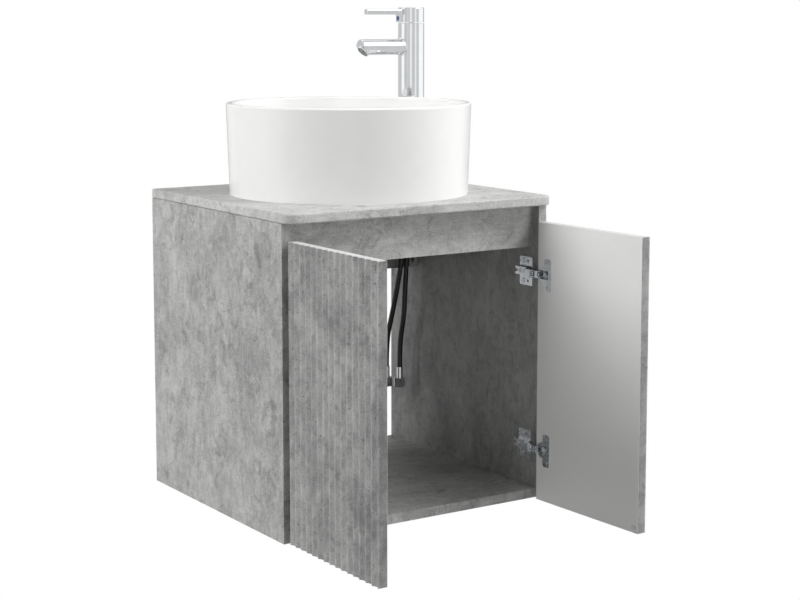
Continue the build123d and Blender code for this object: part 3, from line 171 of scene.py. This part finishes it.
def concrete_look(name, dark, light, stretch, streak_share, pore_share, offset, patch_at=FAR_AWAY):
    """Melamine with a concrete print. A stretch under 1 draws it out along that axis, and
    patch_at is the middle of a place where its pores crowd together."""
    material, tree, shader = new_material(name)
    place = add(tree, "ShaderNodeVectorMath",
                {0: add(tree, "ShaderNodeTexCoord").outputs["Object"], 1: offset},
                operation="ADD")
    drawn = add(tree, "ShaderNodeMapping", {"Vector": place.outputs[0], "Scale": stretch})
    thin = [s if s == 1.0 else s * 0.12 for s in stretch]
    combed = add(tree, "ShaderNodeMapping", {"Vector": place.outputs[0], "Scale": thin})
    wide = [1.0 if s < 1.0 else 0.1 for s in stretch]
    crossed = add(tree, "ShaderNodeMapping", {"Vector": place.outputs[0], "Scale": wide})
    cloud = add(tree, "ShaderNodeTexNoise",
                {"Vector": drawn.outputs[0], "Scale": CLOUDS_TO_A_METRE, "Detail": 4.0,
                 "Roughness": 0.55, "Distortion": 0.7})
    mottle = add(tree, "ShaderNodeTexNoise",
                 {"Vector": drawn.outputs[0], "Scale": MOTTLES_TO_A_METRE, "Detail": 8.0,
                  "Roughness": 0.78, "Distortion": 0.5})
    streak = add(tree, "ShaderNodeTexNoise",
                 {"Vector": combed.outputs[0], "Scale": STREAKS_TO_A_METRE, "Detail": 3.0,
                  "Roughness": 0.6})
    cross_streak = add(tree, "ShaderNodeTexNoise",
                       {"Vector": crossed.outputs[0], "Scale": CROSS_STREAKS_TO_A_METRE,
                        "Detail": 3.0, "Roughness": 0.6})
    grain = add(tree, "ShaderNodeTexNoise",
                {"Vector": place.outputs[0], "Scale": GRITS_TO_A_METRE, "Detail": 3.0,
                 "Roughness": 0.8})
    # Clouds 110 mm across, mottling 17 mm, streaks 5 mm wide both ways and grit 2 mm, in shares.
    shares = ((cloud, 0.75), (mottle, 1.0), (streak, streak_share),
              (cross_streak, 0.6 * streak_share), (grain, 0.95))
    total = None
    for source, share in shares:
        centred = add(tree, "ShaderNodeMath", {0: source.outputs["Fac"], 1: 0.5},
                      operation="SUBTRACT")
        scaled = add(tree, "ShaderNodeMath", {0: centred.outputs[0], 1: share},
                     operation="MULTIPLY")
        if total is None:
            total = scaled
        else:
            total = add(tree, "ShaderNodeMath", {0: total.outputs[0], 1: scaled.outputs[0]},
                        operation="ADD")
    tone = add(tree, "ShaderNodeMapRange",
               {"Value": total.outputs[0], "From Min": -TONE_SPREAD, "From Max": TONE_SPREAD})
    plain = add(tree, "ShaderNodeMix", {0: tone.outputs[0], 6: linear(dark), 7: linear(light)},
                data_type="RGBA")
    # Smudges: darker trowel marks, 35 mm long with ragged edges.
    smudge = add(tree, "ShaderNodeTexNoise",
                 {"Vector": place.outputs[0], "Scale": SMUDGES_TO_A_METRE, "Detail": 6.0,
                  "Roughness": 0.7, "Distortion": 1.2})
    smudged = add(tree, "ShaderNodeMapRange",
                  {"Value": smudge.outputs["Fac"], "From Min": 0.54, "From Max": 0.68,
                   "To Max": 0.5})
    plain = add(tree, "ShaderNodeMix",
                {0: smudged.outputs[0], 6: plain.outputs[2], 7: linear("585858")},
                data_type="RGBA")
    # Pores: small dark pits of 1 to 3 mm, thick together in patches and scattered elsewhere.
    patch = add(tree, "ShaderNodeTexNoise",
                {"Vector": place.outputs[0], "Scale": 13.0, "Detail": 2.0})
    thick = add(tree, "ShaderNodeMapRange",
                {"Value": patch.outputs["Fac"], "From Min": 0.52, "From Max": 0.68,
                 "To Min": PORES_ELSEWHERE, "To Max": pore_share})
    spot = add(tree, "ShaderNodeTexCoord").outputs["Object"]
    away = add(tree, "ShaderNodeVectorMath", {0: spot, 1: patch_at}, operation="DISTANCE")
    near = add(tree, "ShaderNodeMapRange",
               {"Value": away.outputs["Value"], "From Min": 0.02, "From Max": 0.085,
                "To Min": PORES_AT_PATCH, "To Max": 0.0})
    thick = add(tree, "ShaderNodeMath", {0: thick.outputs[0], 1: near.outputs[0]},
                operation="MAXIMUM")
    pits = add(tree, "ShaderNodeTexVoronoi",
               {"Vector": place.outputs[0], "Scale": PORE_CELLS_TO_A_METRE})
    chance = add(tree, "ShaderNodeSeparateColor", {0: pits.outputs["Color"]})
    chosen = add(tree, "ShaderNodeMath", {0: chance.outputs[0], 1: thick.outputs[0]},
                 operation="LESS_THAN")
    size = add(tree, "ShaderNodeMapRange",
               {"Value": chance.outputs[1], "To Min": 0.12, "To Max": 0.34})
    edge = add(tree, "ShaderNodeMath", {0: size.outputs[0], 1: pits.outputs["Distance"]},
               operation="SUBTRACT")
    dot = add(tree, "ShaderNodeMapRange", {"Value": edge.outputs[0], "From Max": 0.16})
    pore = add(tree, "ShaderNodeMath", {0: dot.outputs[0], 1: chosen.outputs[0]},
               operation="MULTIPLY")
    inked = add(tree, "ShaderNodeMath", {0: pore.outputs[0], 1: 0.9}, operation="MULTIPLY")
    printed = add(tree, "ShaderNodeMix",
                  {0: inked.outputs[0], 6: plain.outputs[2], 7: linear("363636")},
                  data_type="RGBA")
    relief = add(tree, "ShaderNodeBump",
                 {"Height": grain.outputs["Fac"], "Strength": 0.12, "Distance": 0.0004})
    gloss = add(tree, "ShaderNodeMapRange",
                {"Value": mottle.outputs["Fac"], "To Min": 0.42, "To Max": 0.62})
    tree.links.new(printed.outputs[2], shader.inputs["Base Color"])
    tree.links.new(relief.outputs[0], shader.inputs["Normal"])
    tree.links.new(gloss.outputs[0], shader.inputs["Roughness"])
    return material, tree, shader, printed


# How the print is drawn out along X, Y and Z on upright and on lying boards.
UPRIGHT = (1.0, 1.0, 0.7)
LYING = (0.6, 1.0, 1.0)
PORE_PATCH = (-0.24, -0.345, -0.10)
carcass_concrete, tree, shader, printed = concrete_look("concrete_melamine_upright", "848484",
                                                        "c4c4c2", UPRIGHT, 0.22, 0.5, (0, 0, 0),
                                                        PORE_PATCH)
# The sides' inner faces, 225 mm from the middle, are painted 30 % darker: painted shade for the
# deep shade inside the cabinet.
INNER_FACE = 0.225
INNER_PAINTED_SHADE = 0.7
across = add(tree, "ShaderNodeSeparateXYZ", {0: add(tree, "ShaderNodeTexCoord").outputs["Object"]})
from_middle = add(tree, "ShaderNodeMath", {0: across.outputs["X"]}, operation="ABSOLUTE")
painted_inner_shade = add(tree, "ShaderNodeMapRange",
                  {"Value": from_middle.outputs[0], "From Min": INNER_FACE - 0.0001,
                   "From Max": INNER_FACE + 0.0005,
                   "To Min": INNER_PAINTED_SHADE, "To Max": 1.0})
with_painted_light = add(tree, "ShaderNodeVectorMath", {0: printed.outputs[2], "Scale": painted_inner_shade.outputs[0]},
             operation="SCALE")
tree.links.new(with_painted_light.outputs[0], shader.inputs["Base Color"])
floor_concrete = concrete_look("concrete_melamine_lying", "8c8c8b", "c0c0be", LYING, 0.22, 0.25,
                               (3, 1, 2))[0]
dress(carcass_concrete, "side_panel_left", "side_panel_right")
dress(floor_concrete, "bottom_panel", "front_rail", "rear_rail")

# Worktop: 15 mm board, the same decor wrapped round softly rounded edges and front corners.
# Its print colours are painted lighter than the sides' same decor: painted light for the stronger
# light falling on the top.
worktop_concrete_painted_light = concrete_look("concrete_melamine_worktop_painted_light", "a6a6a4", "d4d4d2", LYING, 0.25, 0.12,
                                 (5, 2, 7))[0]
dress(worktop_concrete_painted_light, "worktop")

# Doors: 15 mm board with 15 hollow flutes milled down the front under the concrete foil, and plain
# white melamine inside. The foil runs round the edges; the top edge is painted three quarters
# white, as painted light from above.
DOOR_PIVOTS = {"door_left": (-0.2309, -0.442, 90.0, 1), "door_right": (0.2309, -0.442, 92.0, -1)}
INNER_FACE_FROM_PIVOT = 0.013
WHITE_FROM = INNER_FACE_FROM_PIVOT - 0.0003
CREST_FROM_PIVOT = -0.002
FLUTE_DEPTH = 0.0032
CREST_PAINTED_HIGHLIGHT = 1.3
HOLLOW_PAINTED_SHADE = 0.82
TOP_PAINTED_LIGHT = 0.75
DOOR_TOP = max(corner[2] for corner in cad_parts["door_left"].bound_box) - 0.0004
for door_name, (pivot_x, pivot_y, open_deg, hand) in DOOR_PIVOTS.items():
    material, tree, shader, printed = concrete_look(
        "concrete_foil_" + door_name, "7c7c7c", "b9b9b8", UPRIGHT, 0.22, 0.4, (hand, 4, 1))
    inward = (hand * sin(radians(open_deg)), cos(radians(open_deg)), 0.0)
    spot = add(tree, "ShaderNodeTexCoord").outputs["Object"]
    from_pivot = add(tree, "ShaderNodeVectorMath", {0: spot, 1: (pivot_x, pivot_y, 0.0)},
                     operation="SUBTRACT")
    depth = add(tree, "ShaderNodeVectorMath", {0: from_pivot.outputs[0], 1: inward},
                operation="DOT_PRODUCT")
    white_inside_and_painted_top = add(tree, "ShaderNodeMath", {0: depth.outputs["Value"], 1: WHITE_FROM},
                 operation="GREATER_THAN")
    rise = add(tree, "ShaderNodeSeparateXYZ", {0: spot})
    # Painted light: the door's top face gets the white mixed in, for the light falling on it from
    # above.
    topmost = add(tree, "ShaderNodeMath", {0: rise.outputs["Z"], 1: DOOR_TOP},
                  operation="GREATER_THAN")
    painted_top_light = add(tree, "ShaderNodeMath", {0: topmost.outputs[0], 1: TOP_PAINTED_LIGHT},
               operation="MULTIPLY")
    white_inside_and_painted_top = add(tree, "ShaderNodeMath", {0: white_inside_and_painted_top.outputs[0], 1: painted_top_light.outputs[0]},
                 operation="MAXIMUM")
    speckle = add(tree, "ShaderNodeTexNoise", {"Vector": spot, "Scale": 700.0, "Detail": 1.0})
    white = add(tree, "ShaderNodeMix",
                {0: speckle.outputs["Fac"], 6: linear("e6e6e5"), 7: linear("eeeeed")},
                data_type="RGBA")
    faces = add(tree, "ShaderNodeMix",
                {0: white_inside_and_painted_top.outputs[0], 6: printed.outputs[2], 7: white.outputs[2]},
                data_type="RGBA")
    # Painted light on the flutes: the foil's colour is lightened on the crests as a painted
    # highlight and darkened in the hollows as painted shade.
    painted_flute_light = add(tree, "ShaderNodeMapRange",
                 {"Value": depth.outputs["Value"], "From Min": CREST_FROM_PIVOT,
                  "From Max": CREST_FROM_PIVOT + FLUTE_DEPTH,
                  "To Min": CREST_PAINTED_HIGHLIGHT, "To Max": HOLLOW_PAINTED_SHADE})
    painted_flute_light_outside = add(tree, "ShaderNodeMix", {0: white_inside_and_painted_top.outputs[0], 2: painted_flute_light.outputs[0], 3: 1.0})
    with_painted_light = add(tree, "ShaderNodeVectorMath",
                 {0: faces.outputs[2], "Scale": painted_flute_light_outside.outputs[0]}, operation="SCALE")
    tree.links.new(with_painted_light.outputs[0], shader.inputs["Base Color"])
    dress(material, door_name)

# Bumpers: soft clear polyurethane buttons, stuck inside the doors' free lower corners.
bumper, tree, shader = new_material("clear_polyurethane")
haze = add(tree, "ShaderNodeTexNoise",
           {"Vector": add(tree, "ShaderNodeTexCoord").outputs["Object"], "Scale": 900.0})
tint = add(tree, "ShaderNodeMix",
           {0: haze.outputs["Fac"], 6: linear("d2d4d6"), 7: linear("e4e5e6")}, data_type="RGBA")
tree.links.new(tint.outputs[2], shader.inputs["Base Color"])
shader.inputs["Roughness"].default_value = 0.25
shader.inputs["Subsurface Weight"].default_value = 0.3
shader.inputs["Subsurface Radius"].default_value = (0.001, 0.001, 0.001)
dress(bumper, "door_bumper_left", "door_bumper_right")


# Connectors: die-cast zinc cams and zinc-plated steel bolts, screws and pins hold the boards.
# Their metal is bright with fine tool marks; the cams are duller, from the casting die.
def worn_metal(name, dark, light, mark_size, rough_low, rough_high, bump):
    """A metal whose tone and roughness vary in marks of the size given in metres."""
    material, tree, shader = new_material(name)
    place = add(tree, "ShaderNodeTexCoord").outputs["Object"]
    marks = add(tree, "ShaderNodeTexNoise",
                {"Vector": place, "Scale": 1.0 / mark_size, "Detail": 4.0, "Roughness": 0.6})
    tint = add(tree, "ShaderNodeMix", {0: marks.outputs["Fac"], 6: linear(dark), 7: linear(light)},
               data_type="RGBA")
    gloss = add(tree, "ShaderNodeMapRange",
                {"Value": marks.outputs["Fac"], "From Min": 0.3, "From Max": 0.7,
                 "To Min": rough_low, "To Max": rough_high})
    relief = add(tree, "ShaderNodeBump",
                 {"Height": marks.outputs["Fac"], "Strength": bump, "Distance": 0.0002})
    tree.links.new(tint.outputs[2], shader.inputs["Base Color"])
    tree.links.new(gloss.outputs[0], shader.inputs["Roughness"])
    tree.links.new(relief.outputs[0], shader.inputs["Normal"])
    shader.inputs["Metallic"].default_value = 1.0
    return material


cast_zinc = worn_metal("die_cast_zinc", "8f9092", "b3b4b6", 0.0015, 0.45, 0.65, 0.3)
plated_steel = worn_metal("zinc_plated_steel", "a9acaf", "cfd2d4", 0.0012, 0.22, 0.38, 0.1)
dress(cast_zinc, "cam_locks")
dress(plated_steel, "cam_bolts", "corner_block_screws", "hanger_screws", "hinge_screws",
      "left_cup_screws",
      "right_cup_screws", "hinge_pins", "tap_stud", "tap_fixing_washer")

# Dowels: fluted beech pegs, pale with short darker flecks along the grain.
beech, tree, shader = new_material("beech")
grain_way = add(tree, "ShaderNodeMapping",
                {"Vector": add(tree, "ShaderNodeTexCoord").outputs["Object"],
                 "Scale": (0.12, 1.0, 1.0)})
fleck = add(tree, "ShaderNodeTexNoise",
            {"Vector": grain_way.outputs[0], "Scale": 900.0, "Detail": 3.0})
tint = add(tree, "ShaderNodeMix",
           {0: fleck.outputs["Fac"], 6: linear("a97f52"), 7: linear("dcbc90")}, data_type="RGBA")
tree.links.new(tint.outputs[2], shader.inputs["Base Color"])
shader.inputs["Roughness"].default_value = 0.6
dress(beech, "wood_dowels")


# Corner blocks, hanger bodies and the cartridge: injection-moulded white plastic, with the fine
# spark-eroded grain of its mould.
def moulded(name, dark, light, roughness):
    """Moulded plastic with the 0.4 mm grain of an eroded mould."""
    material, tree, shader = new_material(name)
    place = add(tree, "ShaderNodeTexCoord").outputs["Object"]
    pebble = add(tree, "ShaderNodeTexNoise", {"Vector": place, "Scale": 2500.0, "Detail": 1.0})
    flow = add(tree, "ShaderNodeTexNoise", {"Vector": place, "Scale": 60.0, "Detail": 2.0})
    tint = add(tree, "ShaderNodeMix", {0: flow.outputs["Fac"], 6: linear(dark), 7: linear(light)},
               data_type="RGBA")
    relief = add(tree, "ShaderNodeBump",
                 {"Height": pebble.outputs["Fac"], "Strength": 0.15, "Distance": 0.0001})
    tree.links.new(tint.outputs[2], shader.inputs["Base Color"])
    tree.links.new(relief.outputs[0], shader.inputs["Normal"])
    shader.inputs["Roughness"].default_value = roughness
    return material


white_plastic = moulded("moulded_white_plastic", "dcdcda", "ececea", 0.45)
dress(white_plastic, "corner_blocks", "hangers", "tap_cartridge")

# Hooks and wall plates: pressed from hot-dip galvanised sheet, whose zinc froze in flat
# crystals about 6 mm across, each with its own grey.
galvanised, tree, shader = new_material("galvanised_sheet")
crystals = add(tree, "ShaderNodeTexVoronoi",
               {"Vector": add(tree, "ShaderNodeTexCoord").outputs["Object"], "Scale": 170.0})
shade = add(tree, "ShaderNodeSeparateColor", {0: crystals.outputs["Color"]})
tint = add(tree, "ShaderNodeMix", {0: shade.outputs[0], 6: linear("a2a6a8"), 7: linear("c9cdcf")},
           data_type="RGBA")
gloss = add(tree, "ShaderNodeMapRange", {"Value": shade.outputs[1], "To Min": 0.32, "To Max": 0.55})
tree.links.new(tint.outputs[2], shader.inputs["Base Color"])
tree.links.new(gloss.outputs[0], shader.inputs["Roughness"])
shader.inputs["Metallic"].default_value = 1.0
dress(galvanised, "hanger_hooks", "wall_plates")

# Hinges: cup, arm, plate and links pressed from steel strip and nickel plated, satin bright.
nickel = worn_metal("nickel_plated_steel", "b2b6ba", "d2d5d8", 0.003, 0.2, 0.34, 0.05)
hinge_names = [f"{level}_{hand}_hinge_{part}" for level in ("upper", "lower") for hand in ("left",
                                                                                           "right")
               for part in ("plate", "arm", "cup")]
dress(nickel, *hinge_names, "left_outer_links", "right_outer_links", "left_inner_links",
      "right_inner_links")

# Basin: slip-cast vitreous china, glazed white all over. The glaze is clear and very smooth, with
# a barely seen waviness about 20 mm long.
glaze, tree, shader = new_material("white_glazed_ceramic")
place = add(tree, "ShaderNodeTexCoord").outputs["Object"]
waves = add(tree, "ShaderNodeTexNoise", {"Vector": place, "Scale": 45.0, "Detail": 1.0})
tint = add(tree, "ShaderNodeMix",
           {0: waves.outputs["Fac"], 6: linear("f1f1f0"), 7: linear("f5f5f4")}, data_type="RGBA")
relief = add(tree, "ShaderNodeBump",
             {"Height": waves.outputs["Fac"], "Strength": 0.03, "Distance": 0.001})
tree.links.new(tint.outputs[2], shader.inputs["Base Color"])
tree.links.new(relief.outputs[0], shader.inputs["Normal"])
shader.inputs["Roughness"].default_value = 0.16
dress(glaze, "basin")

# Waste and tap: brass, polished and chrome plated where it shows. The mirror finish has only
# faint wipe marks.
chrome = worn_metal("polished_chrome", "d3d5d7", "e3e5e6", 0.02, 0.05, 0.09, 0.0)
dress(chrome, "waste_body", "waste_plug", "tap_body", "tap_handle", "hose_fittings",
      "hose_union_nuts")

# Hidden nuts: turned yellow brass, left bare, with the lathe's fine rings.
turned_brass = worn_metal("turned_brass", "b8924a", "d6b26c", 0.001, 0.22, 0.36, 0.15)
dress(turned_brass, "waste_nut", "tap_cartridge_nut", "tap_fixing_nut")

# Seals: moulded black rubber, dull.
black_rubber = moulded("black_rubber", "141414", "1f1f1f", 0.65)
dress(black_rubber, "waste_seal", "tap_base_seal")

# Aerator and spindle: grey acetal; the index dot is a blue printed inlay under clear lacquer.
grey_plastic = moulded("grey_acetal", "6f7072", "8a8b8d", 0.4)
dress(grey_plastic, "tap_aerator", "tap_spindle")
blue_inlay = moulded("blue_inlay", "5065aa", "5d72b6", 0.25)
dress(blue_inlay, "tap_index_dot")

# Stage: a floor half a metre below the hanging cabinet. It is seen as plain white, metal
# mirrors it as light grey, and it throws the lamps' light back up at the cabinet.
FLOOR_HEIGHT = -0.85
FLOOR_SIZE = 12.0
FLOOR_IN_METAL = 0.78
bpy.ops.object.select_all(action="DESELECT")
bpy.ops.mesh.primitive_plane_add(size=FLOOR_SIZE, location=(0.0, 0.0, FLOOR_HEIGHT))
floor = bpy.context.active_object
floor.name = "studio_floor"
floor_paint, tree, shader = new_material("studio_floor_paint")
sight = add(tree, "ShaderNodeLightPath")
direct = add(tree, "ShaderNodeMath",
             {0: sight.outputs["Is Camera Ray"], 1: sight.outputs["Is Transmission Ray"]},
             operation="MAXIMUM")
seen = add(tree, "ShaderNodeMath", {0: direct.outputs[0], 1: sight.outputs["Is Glossy Ray"]},
           operation="MAXIMUM")
glow = add(tree, "ShaderNodeMapRange",
           {"Value": direct.outputs[0], "To Min": FLOOR_IN_METAL, "To Max": 1.0})
shown = add(tree, "ShaderNodeEmission", {"Strength": glow.outputs[0]})
shader.inputs["Base Color"].default_value = linear("c0c0c0")
shader.inputs["Roughness"].default_value = 0.9
final = add(tree, "ShaderNodeMixShader",
            {0: seen.outputs[0], 1: shader.outputs[0], 2: shown.outputs[0]})
tree.links.new(final.outputs[0], tree.nodes["Material Output"].inputs["Surface"])
floor.data.materials.append(floor_paint)

# The studio's walls light the object softly and show white; metal sees them with grey cards.
WALL_LIGHT = 0.1
BEHIND_CABINET = (0.55, 0.83, 0.0)
world = bpy.data.worlds.new("studio")
bpy.context.scene.world = world
world.use_nodes = True
tree = world.node_tree
tree.nodes.clear()
sight = add(tree, "ShaderNodeLightPath")
heading = add(tree, "ShaderNodeTexCoord").outputs["Generated"]
cards_way = add(tree, "ShaderNodeMapping", {"Vector": heading, "Scale": (1.0, 1.0, 0.25)})
cards = add(tree, "ShaderNodeTexNoise",
            {"Vector": cards_way.outputs[0], "Scale": 1.7, "Detail": 0.0})
card_tone = add(tree, "ShaderNodeMapRange",
                {"Value": cards.outputs["Fac"], "From Min": 0.36, "From Max": 0.56,
                 "To Min": 0.74, "To Max": 1.3})
# A grey wall behind the cabinet gives metal its darker outlines.
behind = add(tree, "ShaderNodeVectorMath", {0: heading, 1: BEHIND_CABINET}, operation="DOT_PRODUCT")
wall_tone = add(tree, "ShaderNodeMapRange",
                {"Value": behind.outputs["Value"], "From Min": 0.5, "From Max": 0.95,
                 "To Min": 1.0, "To Max": 0.55})
mirror_tone = add(tree, "ShaderNodeMath", {0: card_tone.outputs[0], 1: wall_tone.outputs[0]},
                  operation="MULTIPLY")
direct = add(tree, "ShaderNodeMath",
             {0: sight.outputs["Is Camera Ray"], 1: sight.outputs["Is Transmission Ray"]},
             operation="MAXIMUM")
light = add(tree, "ShaderNodeBackground", {"Color": linear("ffffff"), "Strength": WALL_LIGHT})
shown = add(tree, "ShaderNodeBackground", {"Color": linear("ffffff"), "Strength": 1.0})
mirrored = add(tree, "ShaderNodeBackground",
               {"Color": linear("ffffff"), "Strength": mirror_tone.outputs[0]})
first = add(tree, "ShaderNodeMixShader",
            {0: sight.outputs["Is Glossy Ray"], 1: light.outputs[0], 2: mirrored.outputs[0]})
final = add(tree, "ShaderNodeMixShader",
            {0: direct.outputs[0], 1: first.outputs[0], 2: shown.outputs[0]})
add(tree, "ShaderNodeOutputWorld", {0: final.outputs[0]})

# Lamps: name, place, size, power in watts, and whether metal and glaze mirror the lamp itself.
# Each points at the cabinet.
LAMPS_POINT_AT = (0.0, -0.22, 0.05)
LAMPS = (
    ("lamp_right", (1.5, -1.7, 2.0), 1.2, 56.0, True),
    ("lamp_left", (-2.6, 0.1, 1.2), 1.4, 62.0, False),
    ("lamp_front", (1.6, -3.0, 0.6), 2.0, 30.0, False),
    ("lamp_top", (0.1, -0.5, 2.6), 1.4, 11.0, False),
)
for lamp_name, lamp_place, lamp_size, lamp_power, mirrored_too in LAMPS:
    lamp_data = bpy.data.lights.new(lamp_name, "AREA")
    lamp_data.size = lamp_size
    lamp_data.energy = lamp_power
    lamp = bpy.data.objects.new(lamp_name, lamp_data)
    bpy.context.collection.objects.link(lamp)
    lamp.visible_glossy = mirrored_too
    lamp.location = lamp_place
    lamp.rotation_euler = (Vector(LAMPS_POINT_AT) - lamp.location).to_track_quat("-Z",
                                                                                 "Y").to_euler()
